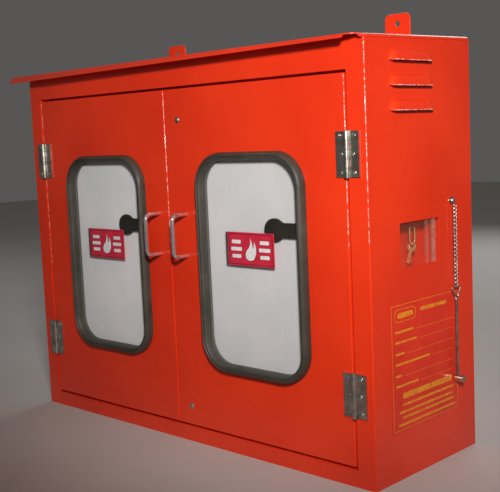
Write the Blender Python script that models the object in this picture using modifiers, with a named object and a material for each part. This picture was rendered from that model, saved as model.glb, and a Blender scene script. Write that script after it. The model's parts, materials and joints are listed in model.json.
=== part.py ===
"""Double-door fire hose cabinet in painted sheet steel, standing on its base.

Glazed doors on butt hinges, a glazed key box, pressed louvres, and a glass-breaking hammer on a chain.
Metres, +Z up. The front faces -Y. The origin is the centre of the body's base.
"""

import math

import bmesh
import bpy
from mathutils import Matrix, Vector

MM = 0.001
GAP = 0.3 * MM  # between neighbouring solids

# Body
WIDTH = 750 * MM
DEPTH = 250 * MM
HEIGHT = 599.5 * MM  # roof's top surface at the front
ROOF_RISE = 5 * MM  # from front to back
SHEET = 1.5 * MM
HALF = WIDTH / 2
FRONT = -DEPTH / 2
BACK = DEPTH / 2

# Roof
VISOR = 18 * MM  # how far the roof runs past the front
LIP = 10.5 * MM  # forward and down from its front edge, at the left end
LIP_END = 5.5 * MM  # the same at the right end
ROOF_TAIL = 22 * MM  # past the left side
CORNER_BEND = 5 * MM

# Front frame and doors
OPENING_X = 343.5 * MM
OPENING_BOTTOM = 25.2 * MM
OPENING_TOP = 554.7 * MM
STOP_DEPTH = 17.5 * MM
STOP_WIDTH = 8 * MM
DOOR_GAP = 2 * MM
DOOR_DEPTH = 16 * MM
SEAM_X = -11 * MM
DOOR_BOTTOM = OPENING_BOTTOM + DOOR_GAP
DOOR_TOP = OPENING_TOP - DOOR_GAP

# Hinges
HINGE_XS = {"left": -340 * MM, "right": 345.5 * MM}
HINGE_HEIGHT = 60 * MM
HINGE_LEAF = 19 * MM
HINGE_THICK = 2 * MM
KNUCKLE_R = 3.5 * MM
HINGE_Y = FRONT - GAP - KNUCKLE_R
PIN_R = 1.5 * MM
PIN_HOLE_R = 1.75 * MM
KNUCKLES = 5
HINGE_ZS = {"lower": 127.5 * MM, "upper": 448 * MM}

# Windows: outline of the rubber gasket, and how far its parts lie inside that outline
WINDOW_WS = {"left": 202 * MM, "right": 211 * MM}
WINDOW_H = 330 * MM
WINDOW_R = 51 * MM
WINDOW_Z = 290 * MM
WINDOW_XS = {"left": -166.5 * MM, "right": 165.5 * MM}
GASKET_WIDTH = 12.5 * MM
SHEET_EDGE = 4 * MM
GLASS_EDGE = 9 * MM
GLASS_FRONT = 0.5 * MM
GLASS_THICK = 3.5 * MM
FILM_THICK = 0.4 * MM

# Rubber pull tab and sign plate on each pane
TAB_XS = {"left": -117 * MM, "right": 212 * MM}
TAB_ZS = {"left": 341.5 * MM, "right": 344.5 * MM}
TAB_W = 38 * MM
TAB_H = 33 * MM
TAB_NECK = 21 * MM
TAB_THICK = 3 * MM
SIGN_W = 95 * MM
SIGN_H = 49 * MM
SIGN_XS = {"left": -171.5 * MM, "right": 164.5 * MM}
SIGN_ZS = {"left": 307.6 * MM, "right": 314.7 * MM}
SIGN_THICK = 1.2 * MM
SIGN_PAD = 3.5 * MM

# Handles
HANDLE_XS = {"left": -34.5 * MM, "right": 28 * MM}
HANDLE_Z = 330 * MM
HANDLE_SPAN = 64 * MM
HANDLE_REACH = 29.5 * MM
HANDLE_R = 3 * MM
HANDLE_BEND = 9 * MM

# Catches that hold the doors shut
MAGNET_X = (-50 * MM, 28 * MM)
STRIKER_XS = {"left": -40.2 * MM, "right": 18.2 * MM}
STRIKER_W = 16 * MM

# Right side
LOUVRE_ZS = (501.5 * MM, 534 * MM, 567 * MM)
LOUVRE_Y = FRONT + 101 * MM
LOUVRE_LENGTH = 98 * MM
LOUVRE_RISE = 15 * MM
LOUVRE_REACH = 8 * MM
LOUVRE_END = 11 * MM
KEY_Y = FRONT + 115 * MM
KEY_Z = 321.5 * MM
KEY_W = 94 * MM
KEY_H = 61 * MM
KEY_DEPTH = 28 * MM
KEY_LEAN = 16  # degrees, towards the cabinet's inside
LABEL_Y = (FRONT + 40 * MM, FRONT + 204 * MM)
LABEL_Z = (68 * MM, 245 * MM)
HANG_X = HALF + 6 * MM
HANG_Y = FRONT + 195 * MM
HANG_Z = 368 * MM
CHAIN_PART = 39.5 * MM
CHAIN_R = 2.9 * MM
CHAIN_PITCH = 5.4 * MM
LINK_W = 24 * MM
LINK_H = 12.5 * MM
WIRE_R = 0.9 * MM
HAMMER_LENGTH = 121 * MM

# Wall lugs and what hangs inside
LUG_X = 252 * MM
LUG_W = 46 * MM
LUG_Z = (540 * MM, 651.5 * MM)
LUG_HOLE_Z = 636.5 * MM
LUG_HOLE_R = 4.5 * MM
LUG_THICK = 2.5 * MM
HOOK_X = 185 * MM
CLIP_ZS = {"lower": 190 * MM, "upper": 400 * MM}
CLIP_R = 20 * MM

SIDES = {"left": -1, "right": 1}


def new_collection(name):
    collection = bpy.data.collections.new(name)
    bpy.context.scene.collection.children.link(collection)
    return collection


def make_material(name, colour, roughness, metallic=0.0, alpha=1.0):
    material = bpy.data.materials.new(name)
    material.use_nodes = True
    shader = material.node_tree.nodes["Principled BSDF"]
    shader.inputs["Base Color"].default_value = (*colour, 1.0)
    shader.inputs["Roughness"].default_value = roughness
    shader.inputs["Metallic"].default_value = metallic
    shader.inputs["Alpha"].default_value = alpha
    return material


for old in list(bpy.data.objects):
    bpy.data.objects.remove(old, do_unlink=True)

PARTS = new_collection("fire_hose_cabinet")
CUTTERS = new_collection("cutters")

PAINT = make_material("red_paint", (0.62, 0.035, 0.012), 0.25)
RUBBER = make_material("gasket_rubber", (0.045, 0.04, 0.03), 0.6)
GLASS = make_material("pane_glass", (0.85, 0.88, 0.88), 0.05, alpha=0.35)
ACRYLIC = make_material("key_pane_acrylic", (0.6, 0.45, 0.35), 0.1, alpha=0.35)
FILM = make_material("white_film", (0.6, 0.58, 0.6), 0.7)
SIGN = make_material("sign_red", (0.55, 0.02, 0.05), 0.4)
ZINC = make_material("zinc_plate", (0.6, 0.6, 0.58), 0.35, 1.0)
CHROME = make_material("chrome_wire", (0.8, 0.8, 0.8), 0.1, 1.0)
STEEL = make_material("steel_wire", (0.5, 0.48, 0.45), 0.3, 1.0)
BRASS = make_material("brass", (0.6, 0.42, 0.15), 0.3, 1.0)
MAGNET = make_material("magnet_case", (0.1, 0.1, 0.1), 0.5)
LABEL = make_material("label_film", (0.6, 0.1, 0.02), 0.4)


def place(name, data, material, cutter=False):
    """Links a new object, to the parts or to the cutters."""
    obj = bpy.data.objects.new(name, data)
    if cutter:
        CUTTERS.objects.link(obj)
        obj.hide_render = True
        obj.display_type = "WIRE"
    else:
        PARTS.objects.link(obj)
        data.materials.append(material)
    return obj


def from_bmesh(name, bm, material, cutter=False):
    bmesh.ops.recalc_face_normals(bm, faces=bm.faces)
    mesh = bpy.data.meshes.new(name)
    bm.to_mesh(mesh)
    bm.free()
    return place(name, mesh, material, cutter)


def add_box(bm, low, high):
    low, high = Vector(low), Vector(high)
    size = high - low
    matrix = Matrix.Translation((low + high) / 2) @ Matrix.Diagonal((*size, 1.0))
    return bmesh.ops.create_cube(bm, size=1.0, matrix=matrix)["verts"]


def box(name, low, high, material=None, cutter=False):
    bm = bmesh.new()
    add_box(bm, low, high)
    return from_bmesh(name, bm, material, cutter)


def cylinder(name, start, end, radius, material=None, cutter=False, segments=16, end_radius=None):
    """A cylinder, or a cone, from start to end."""
    start, end = Vector(start), Vector(end)
    axis = end - start
    turn = axis.to_track_quat("Z", "Y").to_matrix().to_4x4()
    bm = bmesh.new()
    bmesh.ops.create_cone(
        bm,
        cap_ends=True,
        segments=segments,
        radius1=radius,
        radius2=radius if end_radius is None else end_radius,
        depth=axis.length,
        matrix=Matrix.Translation((start + end) / 2) @ turn,
    )
    return from_bmesh(name, bm, material, cutter)


def boolean(obj, other, operation):
    modifier = obj.modifiers.new(f"{operation.lower()} {other.name}", "BOOLEAN")
    modifier.object = other
    modifier.operation = operation


def cut(obj, cutter):
    boolean(obj, cutter, "DIFFERENCE")


def join(obj, other):
    boolean(obj, other, "UNION")


def arc(centre, radius, start, end, steps):
    """Points on an arc, angles in degrees."""
    points = []
    for i in range(steps + 1):
        angle = math.radians(start + (end - start) * i / steps)
        points.append((centre[0] + radius * math.cos(angle), centre[1] + radius * math.sin(angle)))
    return points


def rounded_rectangle(width, height, radius, steps=6, centre=(0.0, 0.0)):
    """The outline of a rounded rectangle, anticlockwise from its right side."""
    points = []
    corners = ((1, 1, 0), (-1, 1, 90), (-1, -1, 180), (1, -1, 270))
    for sx, sz, start in corners:
        middle = (centre[0] + sx * (width / 2 - radius), centre[1] + sz * (height / 2 - radius))
        points += arc(middle, radius, start, start + 90, steps)
    return points


def outline_curve(name, outlines, thickness):
    """A flat 2D curve in its own XY plane, extruded to a thickness; inner outlines are holes."""
    curve = bpy.data.curves.new(name, "CURVE")
    curve.dimensions = "2D"
    curve.fill_mode = "BOTH"
    curve.extrude = thickness / 2
    for outline in outlines:
        spline = curve.splines.new("POLY")
        spline.points.add(len(outline) - 1)
        for point, (x, y) in zip(spline.points, outline):
            point.co = (x, y, 0.0, 1.0)
        spline.use_cyclic_u = True
    return curve


def as_mesh(obj, material, cutter=False):
    """Replaces a curve object by the mesh that it makes, its caps welded."""
    bpy.context.view_layer.update()
    graph = bpy.context.evaluated_depsgraph_get()
    mesh = bpy.data.meshes.new_from_object(obj.evaluated_get(graph))
    bm = bmesh.new()
    bm.from_mesh(mesh)
    bmesh.ops.remove_doubles(bm, verts=bm.verts, dist=1e-6)
    bmesh.ops.recalc_face_normals(bm, faces=bm.faces)
    bm.to_mesh(mesh)
    bm.free()
    name = obj.name
    matrix = obj.matrix_world.copy()
    curve = obj.data
    bpy.data.objects.remove(obj, do_unlink=True)
    bpy.data.curves.remove(curve)
    mesh.materials.clear()
    solid = place(name, mesh, material, cutter)
    solid.matrix_world = matrix
    return solid


def plate(name, outlines, thickness, matrix, material=None, cutter=False):
    """An extruded outline as a mesh, centred on the matrix's XY plane."""
    obj = place(name, outline_curve(name, outlines, thickness), None, cutter=True)
    obj.matrix_world = matrix
    return as_mesh(obj, material, cutter)


def facing_front(y):
    """Outline X to world X, outline Y to world Z, on the plane at y."""
    return Matrix.Translation((0, y, 0)) @ Matrix.Rotation(math.radians(90), 4, "X")


def facing_side(x):
    """Outline X to world Y, outline Y to world Z, on the plane at x."""
    turn = Matrix.Rotation(math.radians(90), 4, "Z") @ Matrix.Rotation(math.radians(90), 4, "X")
    return Matrix.Translation((x, 0, 0)) @ turn


def level(z):
    """Outline in plan, on the plane at z."""
    return Matrix.Translation((0, 0, z))


def strip(name, outline, x_low, x_high, material, cutter=False):
    """A (y, z) outline extruded along X."""
    return plate(name, [outline], x_high - x_low, facing_side((x_low + x_high) / 2), material, cutter)


def roof_z(y):
    """Height of the roof's top surface, which rises towards the back."""
    return HEIGHT + ROOF_RISE * (y - FRONT) / DEPTH


def under_roof(y):
    return roof_z(y) - SHEET - GAP


def make_shell():
    """Back, bottom and left side: flat sheets."""
    inner = HALF - SHEET - GAP
    top = under_roof(BACK)
    chamfer = CORNER_BEND - SHEET - GAP
    outline = [(-inner, 0), (inner, 0), (inner, top - chamfer), (inner - chamfer, top), (-inner, top)]
    plate("back_panel", [outline], SHEET, facing_front(BACK - SHEET / 2), PAINT)
    box("bottom_panel", (-inner, FRONT + SHEET + GAP, 0), (inner, BACK - SHEET - GAP, SHEET), PAINT)
    make_side("left", under_roof)
    right = make_side("right", lambda y: roof_z(y) - CORNER_BEND - GAP)
    opening = rounded_rectangle(KEY_W, KEY_H, 3 * MM, 2, (KEY_Y, KEY_Z))
    cut(right, plate("key_opening", [opening], 4 * SHEET, facing_side(HALF), cutter=True))


def make_side(side, top):
    """A side sheet with three louvres pressed outwards."""
    sign = SIDES[side]
    front = FRONT + SHEET + GAP
    outline = [(front, 0), (BACK, 0), (BACK, top(BACK)), (front, top(front))]
    middle = sign * (HALF - SHEET / 2)
    sheet = plate(f"{side}_side_panel", [outline], SHEET, facing_side(middle), PAINT)
    for number, z in enumerate(LOUVRE_ZS):
        name = f"{side}_louvre_{number}"
        join(sheet, louvre_form(f"{name}_hood", sign, z, 0.0))
        cut(sheet, louvre_form(f"{name}_hollow", sign, z, SHEET))
    return sheet


def louvre_form(name, sign, z, inset):
    """A quarter tube along Y on the side sheet with round ends: a hood, or with an inset its hollow."""
    reach = LOUVRE_REACH - inset
    rise = LOUVRE_RISE - inset
    inside = -SHEET * 0.6 if inset == 0.0 else -SHEET * 1.5
    floor = -inset / 3
    turns = (0, 30, 55, 78)
    stations = [(-1, turn) for turn in reversed(turns)] + [(1, turn) for turn in turns]
    loops = []
    for way, turn in stations:
        shrink = math.cos(math.radians(turn))
        past = (LOUVRE_END - inset) * math.sin(math.radians(turn))
        y = LOUVRE_Y + way * (LOUVRE_LENGTH / 2 - LOUVRE_END + past)
        profile = [(reach * shrink * a, rise * shrink * b) for a, b in arc((0, 0), 1.0, 0, 90, 6)]
        profile = [(inside, floor), (reach * shrink, floor)] + profile[1:] + [(inside, rise * shrink)]
        loops.append([(sign * (HALF + x), y, z + up) for x, up in profile])
    return loft(name, loops, None, cutter=True)


def make_roof():
    """Sloping roof sheet: its right end bends down to the side, its front edge is a drip lip."""
    bm = bmesh.new()
    bend = [(HALF - CORNER_BEND, HEIGHT)]
    bend += arc((HALF - CORNER_BEND, HEIGHT - CORNER_BEND), CORNER_BEND, 90, 0, 4)[1:]
    section = [(-HALF - ROOF_TAIL, HEIGHT)] + bend
    rows = []
    for y in (FRONT - VISOR, BACK):
        rows.append([bm.verts.new((x, y, z + roof_z(y) - HEIGHT)) for x, z in section])
    for i in range(len(section) - 1):
        bm.faces.new((rows[0][i], rows[0][i + 1], rows[1][i + 1], rows[1][i]))
    roof = from_bmesh("roof_panel", bm, PAINT)
    solid = roof.modifiers.new("sheet", "SOLIDIFY")
    solid.thickness = SHEET
    solid.offset = -1.0
    solid.use_even_offset = True

    # The lip, deeper at the left, and the round corner where the visor meets the right side
    front = FRONT - VISOR
    top = roof_z(front)
    slope = SHEET * math.sqrt(2)
    loops = []
    for x, reach, drop in ((-HALF - ROOF_TAIL, LIP, LIP + 1 * MM), (HALF - VISOR, LIP_END, LIP_END)):
        section = ((slope, -0.1 * MM), (0.0, 0.0), (-reach, -drop), (slope - reach, -drop))
        loops.append([(x, front + y, top + z) for y, z in section])
    join(roof, loft("roof_lip", loops, None, cutter=True))
    outline = arc((HALF - VISOR, FRONT), VISOR, 0, -90, 6)
    beyond = FRONT - 2 * VISOR
    outline += [(HALF - VISOR, beyond), (HALF + VISOR, beyond), (HALF + VISOR, FRONT)]
    cut(roof, plate("visor_corner", [outline], 4 * LIP, level(HEIGHT - LIP), cutter=True))


def loft(name, loops, material, cutter=False):
    """A solid through outlines of the same number of points, closed at both ends."""
    bm = bmesh.new()
    rows = [[bm.verts.new(point) for point in loop] for loop in loops]
    for here, there in zip(rows, rows[1:]):
        for i in range(len(here)):
            j = (i + 1) % len(here)
            bm.faces.new((here[i], here[j], there[j], there[i]))
    bm.faces.new(rows[0])
    bm.faces.new(rows[-1])
    return from_bmesh(name, bm, material, cutter)


def sweep_section(name, loops, material):
    """A closed ring from closed loops of points, each joined to the next and the last to the first."""
    bm = bmesh.new()
    rows = [[bm.verts.new(point) for point in loop] for loop in loops]
    for here, there in zip(rows, rows[1:] + rows[:1]):
        for i in range(len(here)):
            j = (i + 1) % len(here)
            bm.faces.new((here[i], here[j], there[j], there[i]))
    return from_bmesh(name, bm, material)


def make_front_frame():
    """Folded sheet round the doors: face, a flange back into the cabinet, and a door stop."""
    top = under_roof(FRONT)
    stop = FRONT + STOP_DEPTH
    section = (
        (None, FRONT),
        (0.0, FRONT),
        (0.0, stop),
        (STOP_WIDTH, stop),
        (STOP_WIDTH, stop + SHEET),
        (-SHEET, stop + SHEET),
        (-SHEET, FRONT + SHEET),
        (None, FRONT + SHEET),
    )
    loops = []
    for inset, y in section:
        half, low, high = HALF, 0.0, top
        if inset is not None:
            half, low, high = OPENING_X - inset, OPENING_BOTTOM + inset, OPENING_TOP - inset
        loops.append([(x, y, z) for x, z in ((-half, low), (half, low), (half, high), (-half, high))])
    frame = sweep_section("front_frame", loops, PAINT)

    # Clearance for the bend between the roof and the right side
    inner = HALF - SHEET - GAP
    bend = HEIGHT - CORNER_BEND
    outside = HALF + CORNER_BEND
    above = HEIGHT + CORNER_BEND
    chamfer = CORNER_BEND - SHEET - GAP
    outline = [
        (inner, bend - GAP),
        (outside, bend - GAP),
        (outside, above),
        (inner - chamfer, above),
        (inner - chamfer, bend + chamfer),
        (inner, bend),
    ]
    cut(frame, plate("bend_clearance", [outline], 8 * SHEET, facing_front(FRONT), cutter=True))


def make_lugs():
    """Tabs behind the back panel, with a hole above the roof for a wall screw."""
    middle = (LUG_Z[0] + LUG_Z[1]) / 2
    y = BACK + GAP + LUG_THICK / 2
    for side, sign in SIDES.items():
        centre = (sign * LUG_X, middle)
        outline = rounded_rectangle(LUG_W, LUG_Z[1] - LUG_Z[0], 8 * MM, 3, centre)
        hole = arc((sign * LUG_X, LUG_HOLE_Z), LUG_HOLE_R, 0, 345, 23)
        plate(f"wall_lug_{side}", [outline, hole], LUG_THICK, facing_front(y), PAINT)


def make_door(side):
    """A pan of folded sheet with an opening for the glazed window."""
    sign = SIDES[side]
    edges = [SEAM_X + sign * DOOR_GAP / 2, sign * (OPENING_X - DOOR_GAP)]
    bm = bmesh.new()
    add_box(bm, (min(edges), FRONT, DOOR_BOTTOM), (max(edges), FRONT + DOOR_DEPTH, DOOR_TOP))
    back = [f for f in bm.faces if f.calc_center_median().y > FRONT + 0.9 * DOOR_DEPTH]
    bmesh.ops.delete(bm, geom=back, context="FACES_ONLY")
    door = from_bmesh(f"{side}_door_panel", bm, PAINT)
    solid = door.modifiers.new("sheet", "SOLIDIFY")
    solid.thickness = SHEET
    solid.offset = -1.0
    solid.use_even_offset = True
    hole = window_outline(side, SHEET_EDGE)
    cut(door, plate(f"{side}_window_hole", [hole], 8 * SHEET, facing_front(FRONT), cutter=True))
    for number, z in enumerate(handle_legs()):
        start = (HANDLE_XS[side], FRONT - SHEET, z)
        end = (HANDLE_XS[side], FRONT + 3 * SHEET, z)
        cut(door, cylinder(f"{side}_handle_hole_{number}", start, end, HANDLE_R + GAP, cutter=True))
    return door


def window_outline(side, inset, steps=6):
    width = WINDOW_WS[side] - 2 * inset
    height = WINDOW_H - 2 * inset
    return rounded_rectangle(width, height, WINDOW_R - inset, steps, (WINDOW_XS[side], WINDOW_Z))


def make_glazing(side):
    """Rubber gasket that grips the door sheet and the pane, the pane, and a white film behind it."""
    back = GLASS_FRONT + GLASS_THICK + GAP
    section = [
        (0.0, -0.3),
        (0.5, -7.0),
        (2.8, -11.8),
        (6.2, -13.5),
        (9.7, -11.8),
        (12.0, -7.0),
        (12.5, 0.2),
        (8.7, 0.2),
        (8.7, back / MM),
        (12.5, back / MM),
        (11.5, 7.0),
        (1.0, 5.0),
        (0.0, 1.8),
        (4.3, 1.8),
        (4.3, -0.3),
    ]
    loops = []
    for inset, y in section:
        outline = window_outline(side, inset * MM)
        loops.append([(x, FRONT + y * MM, z) for x, z in outline])
    sweep_section(f"{side}_gasket", loops, RUBBER)

    y = FRONT + GLASS_FRONT + GLASS_THICK / 2
    plate(f"{side}_pane", [window_outline(side, GLASS_EDGE)], GLASS_THICK, facing_front(y), GLASS)
    y = FRONT + back + FILM_THICK / 2
    film = window_outline(side, GASKET_WIDTH + GAP)
    plate(f"{side}_film", [film], FILM_THICK, facing_front(y), FILM)


def make_pane_fittings(side):
    """Pull tab of the gasket's filler strip, and a sign plate on a foam pad."""
    x = TAB_XS[side]
    z = TAB_ZS[side]
    reach = WINDOW_XS[side] + WINDOW_WS[side] / 2 - GASKET_WIDTH - GAP
    lean = math.degrees(math.asin(TAB_NECK / TAB_H))
    oval = arc((0, 0), 0.5, lean, 360 - lean, 16)
    outline = [(x + TAB_W * a, z + TAB_H * b) for a, b in oval]
    outline += [(reach, z - TAB_NECK / 2), (reach, z + TAB_NECK / 2)]
    y = FRONT + GLASS_FRONT - GAP - TAB_THICK / 2
    plate(f"{side}_pull_tab", [outline], TAB_THICK, facing_front(y), RUBBER)

    x = SIGN_XS[side]
    z = SIGN_ZS[side]
    back = FRONT + GLASS_FRONT - GAP
    front = back - SIGN_PAD - SIGN_THICK
    sign = box(
        f"{side}_sign_plate",
        (x - SIGN_W / 2, front, z - SIGN_H / 2),
        (x + SIGN_W / 2, front + SIGN_THICK, z + SIGN_H / 2),
        SIGN,
    )
    pad_low = (x - SIGN_W / 2 - 1 * MM, front + SIGN_THICK / 2, z - SIGN_H / 2 + 0.5 * MM)
    pad_high = (x + SIGN_W / 2 - 22 * MM, back, z + SIGN_H / 2 - 0.5 * MM)
    join(sign, box(f"{side}_sign_pad", pad_low, pad_high, cutter=True))


def handle_legs():
    return (HANDLE_Z - HANDLE_SPAN / 2, HANDLE_Z + HANDLE_SPAN / 2)


def make_handle(side):
    """A bent wire through the door, held by a backing plate with two nuts."""
    x = HANDLE_XS[side]
    low, high = handle_legs()
    bar = FRONT - HANDLE_REACH
    inside = FRONT + 8 * MM
    path = [(inside, low)]
    path += arc((bar + HANDLE_BEND, low + HANDLE_BEND), HANDLE_BEND, 270, 180, 5)
    path += arc((bar + HANDLE_BEND, high - HANDLE_BEND), HANDLE_BEND, 180, 90, 5)
    path.append((inside, high))
    wire(f"{side}_handle", [(x, y, z) for y, z in path], HANDLE_R, CHROME)

    start = FRONT + SHEET + GAP
    backing = box(
        f"{side}_handle_backing",
        (x - 7 * MM, start, low - 9 * MM),
        (x + 7 * MM, start + 2 * MM, high + 9 * MM),
        ZINC,
    )
    for number, z in enumerate((low, high)):
        name = f"{side}_handle_nut_{number}"
        nut = cylinder(name, (x, start + MM, z), (x, start + 6 * MM, z), 5.6 * MM, cutter=True, segments=6)
        join(backing, nut)
    for number, z in enumerate((low, high)):
        name = f"{side}_handle_bore_{number}"
        bore = cylinder(name, (x, start - MM, z), (x, start + 8 * MM, z), HANDLE_R + GAP, cutter=True)
        cut(backing, bore)


def wire(name, points, radius, material, resolution=2):
    """A round wire along a polyline, with closed ends."""
    curve = bpy.data.curves.new(name, "CURVE")
    curve.dimensions = "3D"
    curve.bevel_depth = radius
    curve.bevel_resolution = resolution
    curve.use_fill_caps = True
    spline = curve.splines.new("POLY")
    spline.points.add(len(points) - 1)
    for point, co in zip(spline.points, points):
        point.co = (*co, 1.0)
    return place(name, curve, material)


def hinge_leaf(name, sign, middle_z, own):
    """One leaf of a butt hinge; sign says which way its plate lies from the pin."""
    rise = KNUCKLE_R - HINGE_THICK
    near = math.sqrt(KNUCKLE_R**2 - rise**2)
    start = math.degrees(math.atan2(rise, near))
    outline = [(HINGE_LEAF, KNUCKLE_R), (HINGE_LEAF, rise)]
    outline += arc((0, 0), KNUCKLE_R, start, start - 360 + (90 - start), 14)
    hole = arc((0, 0), PIN_HOLE_R, 0, 330, 11)
    outlines = [[(sign * x, y) for x, y in points] for points in (outline, hole)]
    place_at = Matrix.Translation((0, HINGE_Y, middle_z))
    leaf = plate(name, outlines, HINGE_HEIGHT, place_at, ZINC)
    bm = bmesh.new()
    step = HINGE_HEIGHT / KNUCKLES
    bottom = middle_z - HINGE_HEIGHT / 2
    for number in range(KNUCKLES):
        if number not in own:
            low = bottom + number * step - (GAP if number else step)
            high = bottom + (number + 1) * step + (GAP if number < KNUCKLES - 1 else step)
            xs = sorted((-sign * 2 * KNUCKLE_R, sign * (KNUCKLE_R + 2 * GAP)))
            add_box(bm, (xs[0], HINGE_Y - 2 * KNUCKLE_R, low), (xs[1], HINGE_Y + 2 * KNUCKLE_R, high))
    cut(leaf, from_bmesh(f"{name}_gaps", bm, None, cutter=True))
    return leaf


def make_hinge(side, position):
    """A butt hinge on the outside: frame leaf, door leaf and pin."""
    sign = SIDES[side]
    z = HINGE_ZS[position]
    name = f"{side}_{position}_hinge"
    frame_leaf = hinge_leaf(f"{name}_frame_leaf", sign, z, (0, 2, 4))
    door_leaf = hinge_leaf(f"{name}_door_leaf", -sign, z, (1, 3))
    for part in (frame_leaf, door_leaf, hinge_pin(f"{name}_pin", z)):
        move_x(part, HINGE_XS[side])


def move_x(obj, x):
    """Moves an object and the cutters of its modifiers along X."""
    for item in [obj] + [m.object for m in obj.modifiers if m.type == "BOOLEAN"]:
        item.location.x += x


def hinge_pin(name, middle_z):
    """A turned pin with a head at each end."""
    reach = HINGE_HEIGHT / 2
    profile = (
        (0.0, reach + 2 * MM),
        (1.6 * MM, reach + 1.7 * MM),
        (2.8 * MM, reach + GAP),
        (PIN_R, reach + GAP),
        (PIN_R, -reach - GAP),
        (2.8 * MM, -reach - GAP),
        (1.6 * MM, -reach - 1.7 * MM),
        (0.0, -reach - 2 * MM),
    )
    return turned(name, profile, (0, HINGE_Y, middle_z), ZINC, 12)


def turned(name, profile, location, material, steps, turn=None):
    """An (r, z) profile, top to bottom, revolved about Z by a Screw modifier."""
    mesh = bpy.data.meshes.new(name)
    edges = [(i, i + 1) for i in range(len(profile) - 1)]
    mesh.from_pydata([(r, 0.0, z) for r, z in profile], edges, [])
    obj = place(name, mesh, material)
    obj.location = location
    if turn:
        obj.rotation_euler = turn
    screw = obj.modifiers.new("turn", "SCREW")
    screw.steps = steps
    screw.render_steps = steps
    screw.use_merge_vertices = True
    screw.merge_threshold = 1e-6
    screw.use_smooth_shade = True
    return obj


def make_catches():
    """A magnet behind the stop above and below the meeting edges, and strikers on the doors."""
    magnet("magnet_top", OPENING_TOP - STOP_WIDTH - GAP, -1)
    magnet("magnet_bottom", OPENING_BOTTOM + STOP_WIDTH + GAP, 1)
    heights = {"top": (505.5 * MM, 544 * MM), "bottom": (57.5 * MM, 36 * MM)}
    for side in SIDES:
        for position, (foot, pad) in heights.items():
            striker(side, position, foot, pad)


def magnet(name, edge, up):
    """An L-shaped case: it hangs behind the stop, and its nose reaches forward past the stop's edge."""
    behind = FRONT + STOP_DEPTH + SHEET + GAP
    nose = FRONT + DOOR_DEPTH + 0.8 * MM
    deep = behind + 12 * MM
    outline = [
        (nose, edge),
        (behind, edge),
        (behind, edge - up * 6 * MM),
        (deep, edge - up * 6 * MM),
        (deep, edge + up * 15 * MM),
        (nose, edge + up * 15 * MM),
    ]
    strip(name, outline, *MAGNET_X, MAGNET)


def striker(side, position, foot, pad):
    """A stepped steel strip from the door sheet back to the magnet."""
    up = 1 if pad > foot else -1
    near = FRONT + SHEET + GAP
    far = FRONT + DOOR_DEPTH + 0.4 * MM
    outline = [
        (near, foot - up * 8 * MM),
        (near + SHEET, foot - up * 8 * MM),
        (near + SHEET, foot + up * 6.5 * MM),
        (far, foot + up * 6.5 * MM),
        (far, pad),
        (far - SHEET, pad),
        (far - SHEET, foot + up * 8 * MM),
        (near, foot + up * 8 * MM),
    ]
    x = STRIKER_XS[side]
    name = f"{side}_{position}_striker"
    plate_body = strip(name, outline, x - STRIKER_W / 2, x + STRIKER_W / 2, ZINC)
    if side == "right":
        outside = (x, FRONT - MM, foot)
        hole_end = (x, near - GAP / 2, foot)
        hole = cylinder(f"{name}_hole", outside, hole_end, 2.8 * MM, cutter=True)
        cut(bpy.data.objects["right_door_panel"], hole)
        shank_end = (x, near + SHEET / 2, foot)
        join(plate_body, cylinder(f"{name}_shank", outside, shank_end, 2.4 * MM, cutter=True))
        head = cylinder(
            f"{name}_head",
            (x, FRONT - GAP, foot),
            (x, FRONT - GAP - 1.8 * MM, foot),
            5.2 * MM,
            cutter=True,
            end_radius=2.8 * MM,
        )
        join(plate_body, head)


def make_key_box():
    """A pan behind the opening in the right side, its pane, and the hook with the key on a loop."""
    inner = HALF - SHEET
    pane_back = inner - GAP - 2 * MM
    outline = rounded_rectangle(KEY_W + 8 * MM, KEY_H + 8 * MM, 3 * MM, 2, (KEY_Y, KEY_Z))
    plate("key_box_pane", [outline], 2 * MM, facing_side(inner - GAP - MM), ACRYLIC)
    rim = pane_back - GAP
    bm = bmesh.new()
    half = Vector((0, KEY_W / 2 + 6 * MM, KEY_H / 2 + 6 * MM))
    centre = Vector((0, KEY_Y, KEY_Z))
    low = centre - half
    high = centre + half
    low.x = rim - KEY_DEPTH
    high.x = rim
    add_box(bm, low, high)
    mouth = [f for f in bm.faces if f.calc_center_median().x > rim - MM]
    bmesh.ops.delete(bm, geom=mouth, context="FACES_ONLY")
    pan = from_bmesh("key_box", bm, PAINT)
    solid = pan.modifiers.new("sheet", "SOLIDIFY")
    solid.thickness = SHEET
    solid.offset = -1.0
    solid.use_even_offset = True

    # Hook: a wire from the back of the pan, turned up at its tip
    back = rim - KEY_DEPTH + SHEET + GAP
    top = KEY_Z + 22 * MM
    hook_y = KEY_Y + 8 * MM
    tip = [(back, top), (back + 13 * MM, top)]
    tip += arc((back + 13 * MM, top + 4 * MM), 4 * MM, 270, 360, 3)[1:]
    wire("key_hook", [(x, hook_y, z) for x, z in tip], 1.2 * MM, STEEL)

    # A long wire loop on the hook, and a key threaded on its lower end
    loop_x = back + 12 * MM
    long_r = 6 * MM
    high_z = top + 1.2 * MM + GAP + 1.1 * MM - long_r
    low_z = high_z - 17 * MM
    points = arc((hook_y, high_z), long_r, 0, 180, 8) + arc((hook_y, low_z), long_r, 180, 360, 8)
    ring = wire("key_loop", [(loop_x, y, z) for y, z in points], 1.1 * MM, BRASS)
    ring.data.splines[0].use_cyclic_u = True
    make_key(loop_x, hook_y, low_z - long_r + 1.1 * MM + GAP)


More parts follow.
